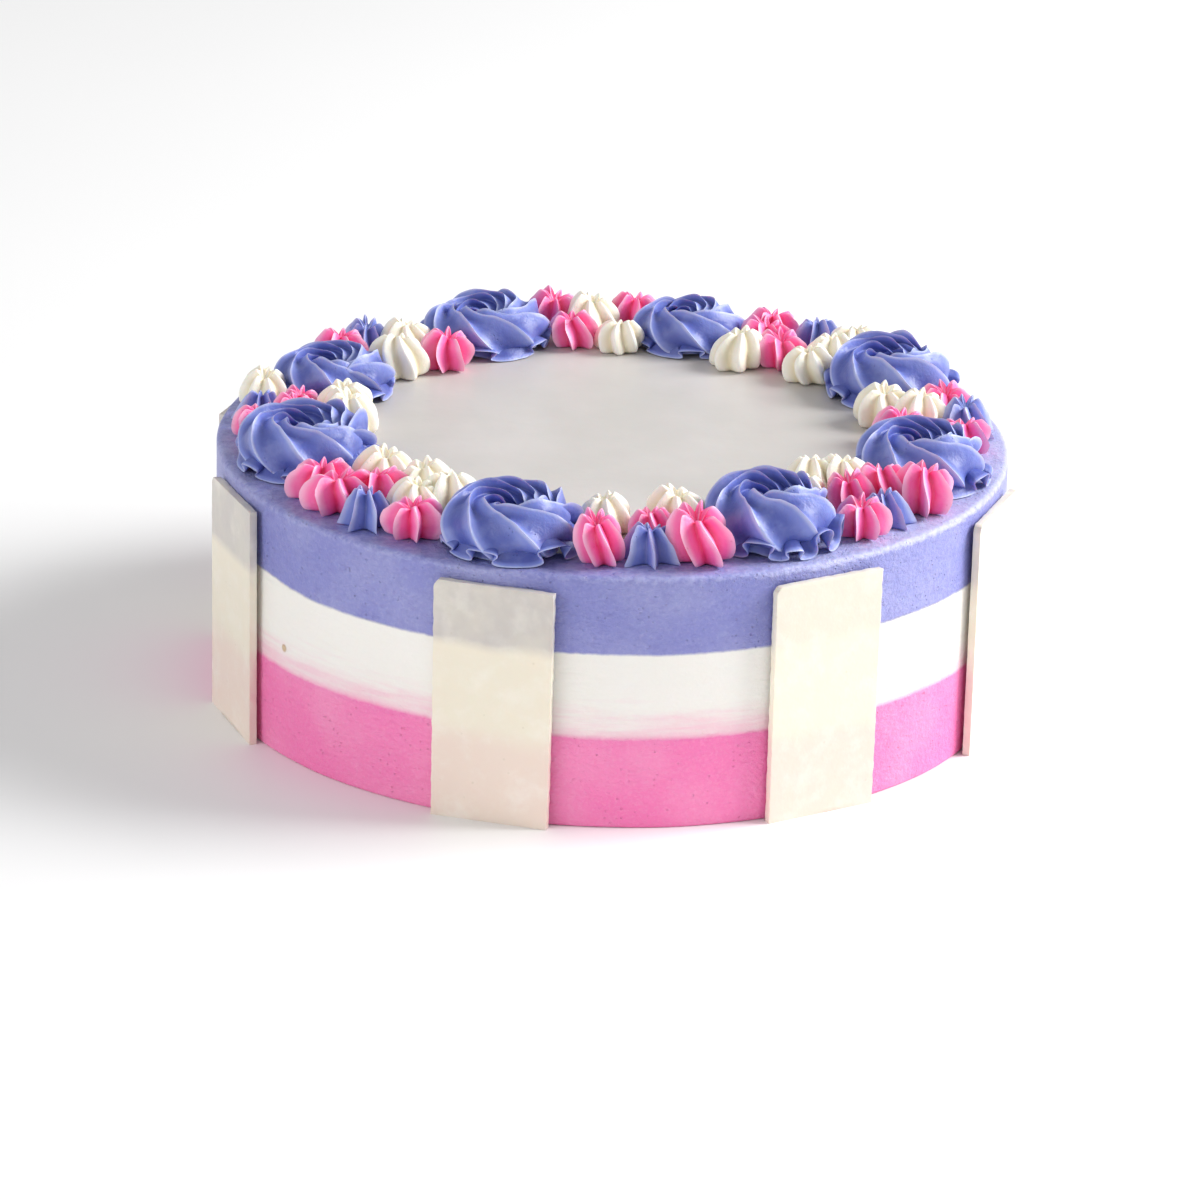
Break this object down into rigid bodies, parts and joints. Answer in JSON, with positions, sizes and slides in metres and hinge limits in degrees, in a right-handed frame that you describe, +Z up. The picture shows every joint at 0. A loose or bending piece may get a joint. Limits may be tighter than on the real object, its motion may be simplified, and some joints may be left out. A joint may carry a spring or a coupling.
{
  "type": "frosted birthday cake with piped swirls and plaques",
  "caption": "Round frosted cake in pink, white and violet bands, with a ring of piped swirls and stars on top and flat white chocolate plaques round its side.",
  "frame": {"origin": "middle of the cake's flat base", "axes": "+Z up, -Y towards the side the picture was taken from"},
  "size_m": [0.2186, 0.2211, 0.087],
  "materials": {
    "pink_icing": "satin buttercream",
    "white_icing": "satin buttercream",
    "violet_icing": "satin buttercream",
    "top_icing": "smooth satin buttercream",
    "white_chocolate": "smooth chocolate"
  },
  "bodies": {
    "root": {"band_pink": "pink_icing", "band_violet": "violet_icing", "band_white": "white_icing", "pink_stars_ab_1": "pink_icing", "pink_stars_ab_3": "pink_icing", "pink_stars_ab_5": "pink_icing", "pink_stars_bc_1": "pink_icing", "pink_stars_bc_3": "pink_icing", "pink_stars_cd_1": "pink_icing", "pink_stars_cd_3": "pink_icing", "pink_stars_cd_4": "pink_icing", "pink_stars_de_3": "pink_icing", "pink_stars_ef_1": "pink_icing", "pink_stars_ef_3": "pink_icing", "pink_stars_ef_5": "pink_icing", "pink_stars_fg_3": "pink_icing", "pink_stars_fg_4": "pink_icing", "pink_stars_gh_2": "pink_icing", "pink_stars_gh_4": "pink_icing", "pink_stars_ha_1": "pink_icing", "pink_stars_ha_3": "pink_icing", "plaque_a": "white_chocolate", "plaque_b": "white_chocolate", "plaque_c": "white_chocolate", "plaque_d": "white_chocolate", "plaque_e": "white_chocolate", "plaque_f": "white_chocolate", "plaque_g": "white_chocolate", "plaque_h": "white_chocolate", "swirl_a": "violet_icing", "swirl_b": "violet_icing", "swirl_c": "violet_icing", "swirl_d": "violet_icing", "swirl_e": "violet_icing", "swirl_f": "violet_icing", "swirl_g": "violet_icing", "swirl_h": "violet_icing", "top_icing": "top_icing", "violet_stars_ab_2": "violet_icing", "violet_stars_bc_2": "violet_icing", "violet_stars_cd_2": "violet_icing", "violet_stars_de_2": "violet_icing", "violet_stars_fg_2": "violet_icing", "violet_stars_gh_3": "violet_icing", "violet_stars_ha_2": "violet_icing", "white_stars_ab_4": "white_icing", "white_stars_ab_6": "white_icing", "white_stars_bc_4": "white_icing", "white_stars_bc_5": "white_icing", "white_stars_cd_5": "white_icing", "white_stars_de_1": "white_icing", "white_stars_de_4": "white_icing", "white_stars_ef_2": "white_icing", "white_stars_ef_4": "white_icing", "white_stars_fg_1": "white_icing", "white_stars_fg_5": "white_icing", "white_stars_gh_1": "white_icing", "white_stars_gh_5": "white_icing", "white_stars_ha_4": "white_icing", "white_stars_ha_5": "white_icing"}
  },
  "joints": []
}
